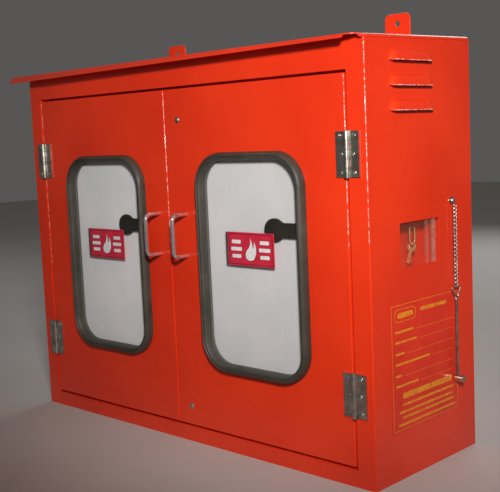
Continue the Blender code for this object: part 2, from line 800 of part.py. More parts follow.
def make_key(x, y, z):
    """A flat key that hangs from the wire at x, y, z: a bow with a hole, a blade and a bit."""
    bow_r = 7 * MM
    hole_r = 3.2 * MM
    rim = 1.6 * MM
    bow = arc((0, 0), bow_r, -70, 250, 14)
    half = bow[0][0]
    foot = -24 * MM
    bit = 4.6 * MM
    outline = bow + [(-half, foot), (half, foot), (half, foot + 3 * MM)]
    outline += [(bit, foot + 3 * MM), (bit, foot + 7 * MM), (half, foot + 7 * MM)]
    hole = arc((0, bow_r - hole_r - rim), hole_r, 0, 330, 11)
    hang = Matrix.Translation((x, y, z))
    lean = Matrix.Rotation(math.radians(KEY_LEAN), 4, "Y")
    drop = Matrix.Translation((0, 0, rim - bow_r))
    plate("key", [outline, hole], 1.6 * MM, hang @ lean @ drop @ facing_front(0), BRASS)


def make_hammer():
    """Screw, chain in three lengths, ring and a small hammer, hanging beside the key box."""
    face = HALF + GAP
    profile = ((0.0, 6.2), (2.6, 5.6), (4.4, 4.2), (4.8, 3.4), (2.0, 3.4))
    profile += ((2.0, 1.1), (5.4, 0.9), (5.4, 0.0), (0.0, 0.0))
    profile = [(r * MM, z * MM) for r, z in profile]
    screw_z = HANG_Z + 4.9 * MM
    turned("chain_screw", profile, (face, HANG_Y, screw_z), ZINC, 16, (0, math.radians(90), 0))

    top = HANG_Z
    for name in ("chain_upper", "chain_middle", "chain_lower"):
        chain_length(name, top)
        top -= CHAIN_PART

    # Triangular link in the plane of the side
    high = top - GAP - WIRE_R
    low = high - LINK_H
    half = LINK_W / 2
    right_end = [(half - 2 * MM, high), (half, high - 1 * MM), (half - 0.6 * MM, high - 2.6 * MM)]
    bottom = [(2.6 * MM, low + 0.2 * MM), (0.0, low), (-2.6 * MM, low + 0.2 * MM)]
    left_end = [(-y, z) for y, z in reversed(right_end)]
    path = right_end + bottom + left_end
    link = wire("hammer_link", [(HANG_X, HANG_Y + y, z) for y, z in path], WIRE_R, STEEL, 1)
    link.data.splines[0].use_cyclic_u = True

    # Handle with a small eye over the link's lowest point, then the head across its foot
    eye_r = 3 * MM
    eye_z = low + 2 * WIRE_R + 0.8 * MM - eye_r
    foot = eye_z - HAMMER_LENGTH
    path = arc((HANG_X, eye_z), eye_r, -60, 240, 12)
    path += [(HANG_X, eye_z - 4.5 * MM), (HANG_X, eye_z - 12 * MM)]
    wire("hammer_handle", [(x, HANG_Y, z) for x, z in path], WIRE_R, STEEL, 1)
    handle = as_mesh(bpy.data.objects["hammer_handle"], STEEL)
    rod_top = (HANG_X, HANG_Y, eye_z - 5 * MM)
    rod_foot = (HANG_X, HANG_Y, foot + 5 * MM + GAP)
    join(handle, cylinder("hammer_rod", rod_top, rod_foot, 2 * MM, cutter=True))
    head = (
        (0.0, 10.2),
        (4.2, 10.2),
        (5.0, 9.4),
        (5.0, -3.0),
        (3.6, -4.4),
        (0.0, -4.4),
    )
    profile = [(r * MM, z * MM) for r, z in head]
    turned("hammer_head", profile, (HANG_X, HANG_Y, foot), STEEL, 20, (0, math.radians(90), 0))


def chain_length(name, top):
    """A stretch of chain that hangs straight: a turned strand with a waist at each link."""
    length = CHAIN_PART - 0.8 * MM
    links = round(length / CHAIN_PITCH)
    pitch = length / links
    start = -0.4 * MM
    profile = [(0.0, start), (0.5 * MM, start)]
    for link in range(links):
        z = start - link * pitch
        profile.append((CHAIN_R, z - 0.3 * pitch))
        profile.append((CHAIN_R, z - 0.7 * pitch))
        if link < links - 1:
            profile.append((0.55 * CHAIN_R, z - pitch))
    profile += [(0.5 * MM, start - length), (0.0, start - length)]
    turned(name, profile, (HANG_X, HANG_Y, top), STEEL, 8)


def make_label():
    low = (HALF + GAP, LABEL_Y[0], LABEL_Z[0])
    high = (HALF + 2 * GAP, LABEL_Y[1], LABEL_Z[1])
    box("side_label", low, high, LABEL)


def make_inside():
    """Two hooks for rolled hose, and two spring clips for a branch pipe."""
    foot = BACK - SHEET - GAP
    thick = 4 * MM
    for side, sign in SIDES.items():
        arm = foot - 95 * MM
        outline = [
            (foot, 520 * MM),
            (foot - thick, 520 * MM),
            (foot - thick, 444 * MM),
            (arm + thick, 444 * MM),
            (arm + thick, 480 * MM),
            (arm, 480 * MM),
            (arm, 440 * MM),
            (foot, 440 * MM),
        ]
        x = sign * HOOK_X
        strip(f"hose_hook_{side}", outline, x - 14 * MM, x + 14 * MM, PAINT)
    for position, z in CLIP_ZS.items():
        centre = (0.0, foot - CLIP_R - 8 * MM)
        outer = arc(centre, CLIP_R + 2 * MM, -50, 230, 20)
        inner = arc(centre, CLIP_R, 230, -50, 20)
        clip = plate(f"pipe_clip_{position}", [outer + inner], 22 * MM, level(z), ZINC)
        low = (-9 * MM, foot - 7.5 * MM, z - 11 * MM)
        high = (9 * MM, foot, z + 11 * MM)
        join(clip, box(f"pipe_clip_{position}_post", low, high, cutter=True))


make_shell()
make_roof()
make_front_frame()
make_lugs()
for SIDE in SIDES:
    make_door(SIDE)
    make_glazing(SIDE)
    make_pane_fittings(SIDE)
    make_handle(SIDE)
    for POSITION in HINGE_ZS:
        make_hinge(SIDE, POSITION)
make_catches()
make_key_box()
make_hammer()
make_label()
make_inside()
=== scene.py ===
"""Looks of the fire hose cabinet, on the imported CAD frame: painted sheet skins with rounded bends, rubber
gaskets and pull tabs, flame signs, handles, hinge screws, chain links, a key loop and a data label."""

import json
import math
import random

import bmesh
import bpy
from mathutils import Matrix, Vector


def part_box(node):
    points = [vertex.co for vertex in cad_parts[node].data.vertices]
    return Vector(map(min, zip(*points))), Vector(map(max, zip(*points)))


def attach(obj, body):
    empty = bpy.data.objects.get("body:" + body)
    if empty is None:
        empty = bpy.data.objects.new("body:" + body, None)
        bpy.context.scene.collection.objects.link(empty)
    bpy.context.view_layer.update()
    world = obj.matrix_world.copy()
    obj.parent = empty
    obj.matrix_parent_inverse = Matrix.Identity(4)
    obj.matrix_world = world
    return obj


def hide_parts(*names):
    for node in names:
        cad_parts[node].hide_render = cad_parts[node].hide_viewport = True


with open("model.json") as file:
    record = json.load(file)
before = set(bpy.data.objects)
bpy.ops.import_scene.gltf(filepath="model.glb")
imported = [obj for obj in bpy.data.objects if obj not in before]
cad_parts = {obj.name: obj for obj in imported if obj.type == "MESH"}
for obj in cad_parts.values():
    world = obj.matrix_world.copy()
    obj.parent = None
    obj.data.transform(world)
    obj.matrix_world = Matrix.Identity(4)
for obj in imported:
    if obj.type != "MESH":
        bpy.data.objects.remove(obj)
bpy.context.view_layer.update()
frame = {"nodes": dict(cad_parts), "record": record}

MM = 0.001
SIDES = {"left": -1, "right": 1}
DICE = random.Random(4)


# --------------------------------------------------------------------------- sizes from the frame
def low(node):
    return Vector(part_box(node)[0])


def high(node):
    return Vector(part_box(node)[1])


FRONT = low("front_frame").y
HALF = high("front_frame").x
TOP = high("front_frame").z
SHEET = high("back_panel").y - low("back_panel").y
BEND = 1.8 * MM  # outer radius of the sheet's bends
LEAST_CORNER = 0.4 * MM
OPENING_CORNER = 0.5 * MM
PROUD = 0.15 * MM  # how far the frame's skin stands out from the CAD sheet it lies over
STOP = high("front_frame").y - SHEET  # front face of the doors' stops
STOP_WIDTH = 8 * MM
WINDOW_R = 51 * MM  # corner radius of a gasket's outline
SHEET_EDGE = 4 * MM  # from that outline to the door sheet's edge
TAB_W = 38 * MM  # width of a pull tab's oval head
LOUVRE_ZS = (501.5 * MM, 534 * MM, 567 * MM)
LOUVRE_REACH = 8 * MM
LOUVRE_LENGTH = 98 * MM
LOUVRE_END = 11 * MM  # length of a louvre's curved end
LOUVRE_Y = FRONT + 101 * MM
LIP_R = 0.85 * MM
# radius of the painted highlight tubes along the bends
HIGHLIGHT_TUBE_R = 0.75 * MM
DOOR_GAP = 2 * MM
OPENING = {
    "x": high("right_door_panel").x + DOOR_GAP,
    "low": low("left_door_panel").z - DOOR_GAP,
    "high": high("left_door_panel").z + DOOR_GAP,
}
LEAF_THICK = 2 * MM  # a hinge leaf's sheet
SCREW_R = 2.6 * MM
SCREW_SPOTS = ((11.5 * MM, 0.40), (10.0 * MM, 0.0), (11.5 * MM, -0.40))  # from the pin; part of the height
LINK_PITCH = 5.3 * MM
LINK_WIRE = 0.85 * MM  # radius of a chain link's wire
LINK_HALF_WIDTH = 2.1 * MM
LINK_TWIST = 0.55 * MM


# --------------------------------------------------------------------------- materials
class Nodes:
    """A Principled material and short calls that add nodes to it."""

    def __init__(self, name, colour, roughness, metallic=0.0, **sockets):
        self.material = bpy.data.materials.new(name)
        self.material.use_nodes = True
        self.tree = self.material.node_tree
        self.shader = self.tree.nodes["Principled BSDF"]
        self.set(self.shader, Base_Color=(*colour, 1.0), Roughness=roughness, Metallic=metallic, **sockets)
        self.place = self.add("ShaderNodeTexCoord").outputs["Object"]
        self.bumped = None

    def set(self, node, **sockets):
        for name, value in sockets.items():
            node.inputs[name.replace("_", " ")].default_value = value
        return node

    def add(self, kind, **sockets):
        return self.set(self.tree.nodes.new(kind), **sockets)

    def link(self, out, socket):
        self.tree.links.new(out, socket)
        return socket.node

    def stretched(self, scale):
        mapping = self.add("ShaderNodeMapping", Scale=scale)
        return self.link(self.place, mapping.inputs["Vector"]).outputs["Vector"]

    def noise(self, scale, detail=3.0, rough=0.5, stretch=None):
        node = self.add("ShaderNodeTexNoise", Scale=scale, Detail=detail, Roughness=rough)
        self.link(self.stretched(stretch) if stretch else self.place, node.inputs["Vector"])
        return node.outputs["Fac"]

    def ramp(self, out, *stops):
        node = self.add("ShaderNodeValToRGB")
        elements = node.color_ramp.elements
        while len(elements) < len(stops):
            elements.new(0.5)
        for element, (at, colour) in zip(elements, stops):
            element.position = at
            element.color = (*colour, 1.0) if isinstance(colour, tuple) else (colour, colour, colour, 1.0)
        self.link(out, node.inputs["Fac"])
        return node.outputs["Color"]

    def mix(self, factor, first, second, blend="MIX"):
        node = self.tree.nodes.new("ShaderNodeMix")
        node.data_type = "RGBA"
        node.blend_type = blend
        for socket, value in (("Factor", factor), ("A", first), ("B", second)):
            target = [s for s in node.inputs if s.name == socket and s.enabled][0]
            if isinstance(value, bpy.types.NodeSocket):
                self.link(value, target)
            elif isinstance(value, tuple):
                target.default_value = (*value, 1.0)
            else:
                target.default_value = value
        return [s for s in node.outputs if s.enabled][0]

    def colour(self, out):
        self.link(out, self.shader.inputs["Base Color"])

    def roughness(self, out, least, most):
        node = self.add("ShaderNodeMapRange", To_Min=least, To_Max=most)
        self.link(out, node.inputs["Value"])
        self.link(node.outputs["Result"], self.shader.inputs["Roughness"])

    def bump(self, out, distance, strength):
        """Bumps add up: each one passes its normal on to the next."""
        node = self.add("ShaderNodeBump", Distance=distance, Strength=strength)
        self.link(out, node.inputs["Height"])
        if self.bumped:
            self.link(self.bumped, node.inputs["Normal"])
        self.bumped = node.outputs["Normal"]
        self.link(self.bumped, self.shader.inputs["Normal"])


def red_paint():
    """Brushed gloss enamel on sheet steel: soft waves, orange peel, darker rubbed patches."""
    m = Nodes("red_paint", (0.80, 0.030, 0.007), 0.24, Specular_IOR_Level=0.2)
    m.set(m.shader, Coat_Weight=0.55, Coat_Roughness=0.06)
    tone = m.ramp(m.noise(5.0, 4.0), (0.32, (0.74, 0.030, 0.006)), (0.68, (0.88, 0.045, 0.009)))
    scuffs = m.ramp(m.noise(38.0, 6.0, 0.7), (0.62, 0.0), (0.80, 0.35))
    m.colour(m.mix(scuffs, tone, (0.50, 0.016, 0.006)))
    m.roughness(m.noise(24.0, 4.0, 0.6), 0.17, 0.34)
    m.bump(m.noise(7.0, 1.0), 1.6 * MM, 0.35)
    m.bump(m.noise(170.0, 2.0), 0.10 * MM, 0.55)
    m.bump(m.noise(520.0, 1.0), 0.03 * MM, 0.6)
    return m.material


def painted_highlight_edge():
    """Red paint with pale pink painted highlights dotted along a pressed edge, under a sharp coat."""
    m = Nodes("painted_highlight_edge", (0.85, 0.30, 0.24), 0.15, Coat_Weight=1.0, Coat_Roughness=0.05)
    # the pale pink stop is painted highlight; the red stop is the paint itself
    m.colour(m.ramp(m.noise(210.0, 4.0, 0.7), (0.46, (0.85, 0.07, 0.03)), (0.60, (0.96, 0.62, 0.56))))
    m.bump(m.noise(420.0, 2.0), 0.04 * MM, 0.6)
    return m.material


def rubber(name, dark, pale, dust_most):
    """Aged extruded rubber: dull olive black with paler dust along its length."""
    m = Nodes(name, dark, 0.5, Specular_IOR_Level=0.4)
    tone = m.ramp(m.noise(16.0, 5.0, 0.65), (0.3, dark), (0.7, pale))
    dust = m.ramp(m.noise(60.0, 6.0, 0.7), (0.55, 0.0), (0.85, dust_most))
    m.colour(m.mix(dust, tone, (0.15, 0.14, 0.115)))
    m.roughness(m.noise(45.0, 4.0), 0.38, 0.62)
    m.bump(m.noise(420.0, 3.0), 0.05 * MM, 0.8)
    return m.material


def clear_glass():
    """Clear pane: mostly see-through, with faint wiping marks in its gloss."""
    m = Nodes("pane_glass", (0.82, 0.84, 0.84), 0.04, Alpha=0.10, Specular_IOR_Level=0.5)
    m.roughness(m.noise(14.0, 5.0, 0.7), 0.03, 0.16)
    m.material.surface_render_method = "BLENDED"
    return m.material


def tinted_acrylic():
    """Clear acrylic with a faint brown tint and two painted reflections: pale upright streaks near its rear
    edge.
    """
    tint = (0.30, 0.15, 0.10)
    m = Nodes("key_pane_acrylic", tint, 0.08, Specular_IOR_Level=0.5)
    m.roughness(m.noise(30.0, 4.0), 0.05, 0.2)
    along = m.add("ShaderNodeSeparateXYZ")
    m.link(m.place, along.inputs["Vector"])
    across = m.add("ShaderNodeMapRange", From_Min=low("key_box_pane").y, From_Max=high("key_box_pane").y)
    m.link(along.outputs["Y"], across.inputs["Value"])
    # painted reflections: two pale upright streaks placed along Y, broken up by noise, which also make the
    # pane less clear
    faint = ((0.64, 0.0), (0.67, 0.4), (0.72, 0.4), (0.75, 0.0))
    strong = ((0.79, 0.0), (0.82, 0.8), (0.88, 0.8), (0.91, 0.0))
    streaks = m.ramp(across.outputs["Result"], *faint, *strong)
    wear_and_painted_reflection = m.mix(1.0, streaks, m.ramp(m.noise(90.0, 4.0, 0.7), (0.3, 0.35), (0.6, 1.0)), "MULTIPLY")
    m.colour(m.mix(wear_and_painted_reflection, tint, (0.82, 0.36, 0.30)))
    alpha = m.add("ShaderNodeMapRange", To_Min=0.12, To_Max=0.75)
    m.link(wear_and_painted_reflection, alpha.inputs["Value"])
    m.link(alpha.outputs["Result"], m.shader.inputs["Alpha"])
    m.material.surface_render_method = "BLENDED"
    return m.material


def window_film():
    """Pale grey film behind the glass, made paler towards -X as painted light, with fine vertical streaks and
    a few smudges.
    """
    m = Nodes("window_film", (0.56, 0.55, 0.57), 0.5, Coat_Weight=0.2, Coat_Roughness=0.2)
    streaks = m.noise(1.0, 3.0, 0.6, stretch=(420.0, 420.0, 9.0))
    tone = m.ramp(streaks, (0.30, (0.86, 0.87, 0.90)), (0.70, (0.94, 0.93, 0.95)))
    clouds = m.ramp(m.noise(11.0, 5.0, 0.6), (0.35, (0.88, 0.90, 0.90)), (0.65, (1.0, 0.98, 1.0)))
    across = m.add("ShaderNodeSeparateXYZ")
    m.link(m.place, across.inputs["Vector"])
    # painted light: the film is lifted towards -X, where the key light leaves it darker
    spread = m.add("ShaderNodeMapRange", From_Min=-0.28, From_Max=0.28)
    m.link(across.outputs["X"], spread.inputs["Value"])
    paler = m.ramp(spread.outputs["Result"], (0.0, 1.0), (0.45, 0.95), (1.0, 0.74))
    clean = m.mix(1.0, m.mix(1.0, tone, clouds, "MULTIPLY"), paler, "MULTIPLY")
    smudge = m.ramp(m.noise(26.0, 5.0, 0.6), (0.68, 0.0), (0.80, 0.35))
    m.colour(m.mix(smudge, clean, (0.46, 0.48, 0.51)))
    return m.material


def crimson_sign():
    """Crimson sign plate with a faint grain."""
    m = Nodes("sign_crimson", (0.62, 0.020, 0.055), 0.35, Coat_Weight=0.3, Coat_Roughness=0.15)
    m.colour(m.ramp(m.noise(60.0, 4.0), (0.3, (0.56, 0.016, 0.045)), (0.7, (0.70, 0.026, 0.065))))
    m.roughness(m.noise(90.0, 3.0), 0.28, 0.45)
    m.bump(m.noise(700.0, 2.0), 0.02 * MM, 0.5)
    return m.material


def printed_white():
    """Slightly worn white print."""
    m = Nodes("sign_white", (0.82, 0.80, 0.80), 0.4)
    m.colour(m.ramp(m.noise(120.0, 4.0), (0.3, (0.72, 0.69, 0.70)), (0.7, (0.86, 0.84, 0.84))))
    m.bump(m.noise(900.0, 2.0), 0.02 * MM, 0.4)
    return m.material


def dark_print():
    """Dark red print round the white shapes."""
    m = Nodes("sign_outline", (0.12, 0.012, 0.02), 0.45)
    m.colour(m.ramp(m.noise(120.0, 4.0), (0.3, (0.09, 0.010, 0.018)), (0.7, (0.17, 0.016, 0.030))))
    return m.material


def foam_and_painted_shadow():
    """Open-celled foam tape behind a sign; the strip of it that shows left of the plate is painted shadow."""
    m = Nodes("foam_pad_and_shadow", (0.05, 0.045, 0.04), 0.85)
    cells = m.noise(900.0, 3.0, 0.7)
    m.colour(m.ramp(cells, (0.3, (0.025, 0.022, 0.020)), (0.7, (0.085, 0.078, 0.068))))
    m.bump(cells, 0.15 * MM, 0.9)
    return m.material


def metal(name, dark, bright, least, most, grain, bump, metallic=1.0):
    """Bare or plated metal: patchy tone, uneven gloss, fine grain along Z."""
    m = Nodes(name, bright, least, metallic)
    m.colour(m.ramp(m.noise(55.0, 5.0, 0.65), (0.32, dark), (0.66, bright)))
    m.roughness(m.noise(85.0, 4.0, 0.6), least, most)
    m.bump(m.noise(1.0, 2.0, stretch=grain), bump, 0.6)
    return m.material


def label_film():
    """Thin clear label over the red paint: the paint's red, a little flatter."""
    m = Nodes("label_film", (0.78, 0.032, 0.010), 0.3, Coat_Weight=0.15, Coat_Roughness=0.12)
    m.colour(m.ramp(m.noise(22.0, 4.0), (0.3, (0.70, 0.026, 0.008)), (0.7, (0.84, 0.038, 0.012))))
    m.bump(m.noise(130.0, 2.0), 0.05 * MM, 0.4)
    return m.material


def label_print():
    """Worn orange print on the data label."""
    m = Nodes("label_print", (0.78, 0.30, 0.025), 0.45)
    wear_and_painted_reflection = m.noise(260.0, 4.0, 0.7)
    m.colour(m.ramp(wear_and_painted_reflection, (0.34, (0.74, 0.12, 0.012)), (0.60, (0.86, 0.36, 0.015))))
    m.bump(wear_and_painted_reflection, 0.02 * MM, 0.5)
    return m.material


def magnet_plastic():
    """Black moulded case of a door magnet."""
    m = Nodes("magnet_case", (0.06, 0.06, 0.06), 0.45)
    m.colour(m.ramp(m.noise(80.0, 4.0), (0.3, (0.04, 0.04, 0.04)), (0.7, (0.09, 0.09, 0.085))))
    m.bump(m.noise(800.0, 2.0), 0.03 * MM, 0.6)
    return m.material


PAINT = red_paint()
# red paint with pale pink painted highlight, for the bends and the louvre lips
PAINTED_HIGHLIGHT = painted_highlight_edge()
RUBBER = rubber("gasket_rubber", (0.030, 0.028, 0.022), (0.068, 0.060, 0.048), 0.40)
TAB_RUBBER = rubber("tab_rubber", (0.012, 0.012, 0.009), (0.026, 0.023, 0.017), 0.12)
GLASS = clear_glass()
ACRYLIC = tinted_acrylic()
FILM = window_film()
CRIMSON = crimson_sign()
WHITE = printed_white()
OUTLINE = dark_print()
# dark foam whose visible strip beside each sign is painted shadow
FOAM_AND_SHADOW = foam_and_painted_shadow()
SHEET_GRAIN = (900, 900, 40)
BAR_GRAIN = (500, 500, 60)
WIRE_GRAIN = (700, 700, 50)
ZINC = metal("zinc_plate", (0.33, 0.32, 0.27), (0.74, 0.73, 0.68), 0.24, 0.48, SHEET_GRAIN, 0.03 * MM)
CHROME = metal("chrome_wire", (0.70, 0.70, 0.72), (0.92, 0.92, 0.94), 0.05, 0.16, BAR_GRAIN, 0.01 * MM, 0.85)
STEEL = metal("steel_wire", (0.34, 0.31, 0.27), (0.68, 0.64, 0.58), 0.20, 0.42, WIRE_GRAIN, 0.03 * MM)
BRASS = metal("brass", (0.55, 0.38, 0.14), (0.92, 0.74, 0.38), 0.18, 0.34, WIRE_GRAIN, 0.03 * MM, 0.6)
LABEL = label_film()
PRINT = label_print()
MAGNET = magnet_plastic()
SLOT_LOOKS = {
    "paint": PAINT,
    "rubber": RUBBER,
    "glass": GLASS,
    "acrylic": ACRYLIC,
    "film": FILM,
    "sign": CRIMSON,
    "zinc": ZINC,
    "chrome": CHROME,
    "steel": STEEL,
    "brass": BRASS,
    "magnet": MAGNET,
    "label": LABEL,
}


# --------------------------------------------------------------------------- mesh helpers
def finish_mesh(obj, angle=35, weighted=True):
    """Smooth shading with creases sharper than an angle; with weighted, flat faces stay flat."""
    obj.data.shade_smooth()
    obj.data.set_sharp_from_angle(angle=math.radians(angle))
    if weighted:
        modifier = obj.modifiers.new("flat faces stay flat", "WEIGHTED_NORMAL")
        modifier.keep_sharp = True


def piece(name, mesh, material, slot, body, *nodes):
    """A new piece of the object: its finish, its body and the CAD nodes that it stands for."""
    obj = bpy.data.objects.new(name, mesh)
    bpy.context.scene.collection.objects.link(obj)
    mesh.materials.clear()
    mesh.materials.append(material)
    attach(obj, body)
    if nodes:
        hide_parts(*nodes)
    return obj


def from_bmesh(name, bm):
    """A mesh with its faces turned outwards."""
    bmesh.ops.recalc_face_normals(bm, faces=bm.faces)
    mesh = bpy.data.meshes.new(name)
    bm.to_mesh(mesh)
    bm.free()
    return mesh


def bridge(bm, loops, closed):
    """Faces from each closed outline to the next, and from the last to the first if closed."""
    rows = [[bm.verts.new(point) for point in loop] for loop in loops]
    pairs = list(zip(rows, rows[1:] + rows[:1])) if closed else list(zip(rows, rows[1:]))
    for here, there in pairs:
        for i in range(len(here)):
            j = (i + 1) % len(here)
            bm.faces.new((here[i], here[j], there[j], there[i]))
    return rows


def arc(centre, radius, start, end, steps):
    """Points along a flat arc, with angles in degrees."""
    points = []
    for i in range(steps + 1):
        angle = math.radians(start + (end - start) * i / steps)
        points.append((centre[0] + radius * math.cos(angle), centre[1] + radius * math.sin(angle)))
    return points


def rounded(x, z, radius, steps):
    """Rounded rectangle through x = (left, right) and z = (low, high), anticlockwise."""
    left, right = x[0] + radius, x[1] - radius
    foot, top = z[0] + radius, z[1] - radius
    points = []
    for cx, cz, start in ((right, top, 0), (left, top, 90), (left, foot, 180), (right, foot, 270)):
        points += arc((cx, cz), radius, start, start + 90, steps)
    return points


def sweep_tube(name, path, radius, sides, up, closed=False):
    """A round tube along 3D points that never run along up, with small flat ends if it isn't closed."""
    points = [Vector(p) for p in path]
    count = len(points)
    up = Vector(up)
    bm = bmesh.new()
    loops = []
    for i, point in enumerate(points):
        before = points[i - 1] if i or closed else point
        after = points[(i + 1) % count] if i < count - 1 or closed else point
        along = (after - before).normalized()
        across = (up - along * up.dot(along)).normalized()
        other = along.cross(across)
        ring = []
        for k in range(sides):
            turn = 2 * math.pi * k / sides
            ring.append(point + radius * (across * math.cos(turn) + other * math.sin(turn)))
        loops.append(ring)
    if not closed:
        end_size, end_reach = 0.75, 0.25
        back = (points[0] - points[1]).normalized() * radius * end_reach
        ahead = (points[-1] - points[-2]).normalized() * radius * end_reach
        first = [points[0].lerp(v, end_size) + back for v in loops[0]]
        last = [points[-1].lerp(v, end_size) + ahead for v in loops[-1]]
        loops = [first] + loops + [last]
    rows = bridge(bm, loops, closed)
    if not closed:
        bm.faces.new(rows[0])
        bm.faces.new(rows[-1])
    return from_bmesh(name, bm)


def smooth_path(points, radius, steps):
    """Straight stretches joined by arcs of a radius at each inner point."""
    points = [Vector(p) for p in points]
    path = [points[0]]
    for before, corner, after in zip(points, points[1:], points[2:]):
        a = (before - corner).normalized()
        b = (after - corner).normalized()
        half = a.angle(b) / 2
        reach = radius / math.tan(half)
        centre = corner + (a + b).normalized() * radius / math.sin(half)
        start = corner + a * reach - centre
        end = corner + b * reach - centre
        for i in range(steps + 1):
            path.append(centre + start.slerp(end, i / steps).normalized() * radius)
    path.append(points[-1])
    return path


# --------------------------------------------------------------------------- sheet metal skins
def door_skin(side):
    """The door's folded pan with a rounded bend all round and the window's opening."""
    node = f"{side}_door_panel"
    a, b = low(node), high(node)
    gasket_a, gasket_b = low(f"{side}_gasket"), high(f"{side}_gasket")
    hole_x = (gasket_a.x + SHEET_EDGE, gasket_b.x - SHEET_EDGE)
    hole_z = (gasket_a.z + SHEET_EDGE, gasket_b.z - SHEET_EDGE)
    steps = 6

    def outline(inset, y):
        corner = max(BEND - inset, LEAST_CORNER)
        points = rounded((a.x + inset, b.x - inset), (a.z + inset, b.z - inset), corner, steps)
        return [(x, y, z) for x, z in points]

    hole = rounded(hole_x, hole_z, WINDOW_R - SHEET_EDGE, steps)
    inner = BEND - SHEET
    front = [(BEND + x, FRONT + BEND + y) for x, y in arc((0, 0), BEND, 270, 180, 5)]
    back = [(BEND + x, FRONT + BEND + y) for x, y in arc((0, 0), inner, 180, 270, 4)]
    loops = [[(x, FRONT + SHEET, z) for x, z in hole], [(x, FRONT, z) for x, z in hole]]
    loops += [outline(inset, y) for inset, y in front]
    loops += [outline(0, b.y), outline(SHEET, b.y)]
    loops += [outline(inset, y) for inset, y in back]
    bm = bmesh.new()
    bridge(bm, loops, closed=True)
    mesh = from_bmesh(f"{side}_door_skin", bm)
    finish_mesh(piece(f"{side}_door_skin", mesh, PAINT, "paint", f"{side}_door", node))


def frame_skin():
    """The cabinet's front: rounded bends at the body's corners and round the doors' opening."""

    def outer(inset, y):
        """The body's outline, made smaller by inset."""
        corner = max(BEND - inset, LEAST_CORNER)
        half = HALF + PROUD - inset
        points = rounded((-half, half), (0.0, TOP), corner, 4)
        return [(x, y, z) for x, z in points]

    def inner(past, y):
        """Outline of the doors' opening, made smaller by past."""
        x = OPENING["x"] - past
        points = rounded((-x, x), (OPENING["low"] + past, OPENING["high"] - past), OPENING_CORNER, 4)
        return [(px, y, pz) for px, pz in points]

    tuck = 0.35 * MM  # the skin's rear edge goes down into the side panel
    loops = [outer(tuck, FRONT + 9 * MM), outer(0.0, FRONT + 7 * MM)]
    loops += [outer(BEND + x, FRONT + BEND + y) for x, y in arc((0, 0), BEND, 180, 270, 5)]
    loops += [inner(-BEND - x, FRONT + BEND + y) for x, y in arc((0, 0), BEND, 270, 360, 5)]
    loops += [inner(0.0, STOP), inner(STOP_WIDTH, STOP)]
    loops += [inner(STOP_WIDTH, STOP + SHEET), inner(-SHEET, STOP + SHEET)]
    loops += [inner(-SHEET, FRONT + 2 * SHEET), outer(2 * BEND, FRONT + 2 * SHEET)]
    bm = bmesh.new()
    bridge(bm, loops, closed=True)
    mesh = from_bmesh("front_frame_skin", bm)
    finish_mesh(piece("front_frame_skin", mesh, PAINT, "paint", "cabinet", "front_frame"))


def louvre_lips(side):
    """The rolled lower edge of each louvre's hood, with round ends, in the pale painted-highlight paint."""
    sign_x = SIDES[side]
    half = LOUVRE_LENGTH / 2 - LOUVRE_END
    sink = 0.4 * MM  # how far the lip's middle is inside the hood
    for number, z in enumerate(LOUVRE_ZS):
        path = []
        for way, turns in ((-1, range(50, -1, -10)), (1, range(0, 31, 10))):
            for turn in turns:
                reach = LOUVRE_REACH * math.cos(math.radians(turn)) - sink
                past = LOUVRE_END * math.sin(math.radians(turn))
                path.append((sign_x * (HALF + reach), LOUVRE_Y + way * (half + past), z + sink))
        name = f"{side}_louvre_lip_{number}"
        mesh = sweep_tube(name, path, LIP_R, 10, (0, 0, 1))
        finish_mesh(piece(name, mesh, PAINTED_HIGHLIGHT, "paint", "cabinet"), 60, weighted=False)


def bend_highlights():
    """Painted highlights: thin tubes in the pale highlight paint along four upright bends."""
    left, right = "left_door_panel", "right_door_panel"
    inset = 0.55 * MM
    short = 3 * MM  # how far a highlight tube stops below the top
    foot = low(right).z
    full = high(right).z - foot
    door_end = foot + full - short
    spots = (
        ("body_corner", HALF - inset, 0.58, TOP - short, "cabinet"),
        ("right_door_edge", high(right).x - inset, 0.56, door_end, "right_door"),
        ("seam_edge", high(left).x - inset, 0.55, door_end, "left_door"),
        ("left_door_edge", low(left).x + inset, 0.45, door_end, "left_door"),
    )
    for name, x, part, end, body in spots:
        start = foot + part * full
        path = [(x, FRONT + inset, z) for z in (start, (start + end) / 2, end)]
        mesh = sweep_tube(f"{name}_highlight_tube", path, HIGHLIGHT_TUBE_R, 10, (1, 0, 0))
        finish_mesh(piece(f"{name}_highlight_tube", mesh, PAINTED_HIGHLIGHT, "paint", body), 60, weighted=False)


# --------------------------------------------------------------------------- windows
def gasket(side):
    """Extruded rubber in front of the sheet with two round ribs and a groove, and a flat lip behind it."""
    node = f"{side}_gasket"
    a, b = low(node), high(node)
    # in mm: inset from the outline, then how far behind the door's front
    section = [(0.0, -0.3), (0.1, -4.0), (0.5, -7.0), (1.4, -9.8), (2.8, -11.8), (4.4, -13.0)]
    section += [(5.4, -13.3), (6.1, -12.5), (6.5, -11.6), (7.1, -11.9), (8.2, -12.3), (9.5, -11.7)]
    section += [(10.7, -9.8), (11.7, -7.0), (12.3, -3.4), (12.5, 0.2), (8.7, 0.2), (8.7, 4.3)]
    section += [(12.5, 4.3), (11.5, 7.0), (6.5, 6.4), (1.0, 5.0), (0.0, 1.8), (4.3, 1.8), (4.3, -0.3)]
    loops = []
    for inset, y in section:
        inset *= MM
        points = rounded((a.x + inset, b.x - inset), (a.z + inset, b.z - inset), WINDOW_R - inset, 12)
        loops.append([(x, FRONT + y * MM, z) for x, z in points])
    bm = bmesh.new()
    bridge(bm, loops, closed=True)
    name = f"{side}_gasket_rubber"
    mesh = from_bmesh(name, bm)
    finish_mesh(piece(name, mesh, RUBBER, "rubber", f"{side}_door", node), 50, weighted=False)


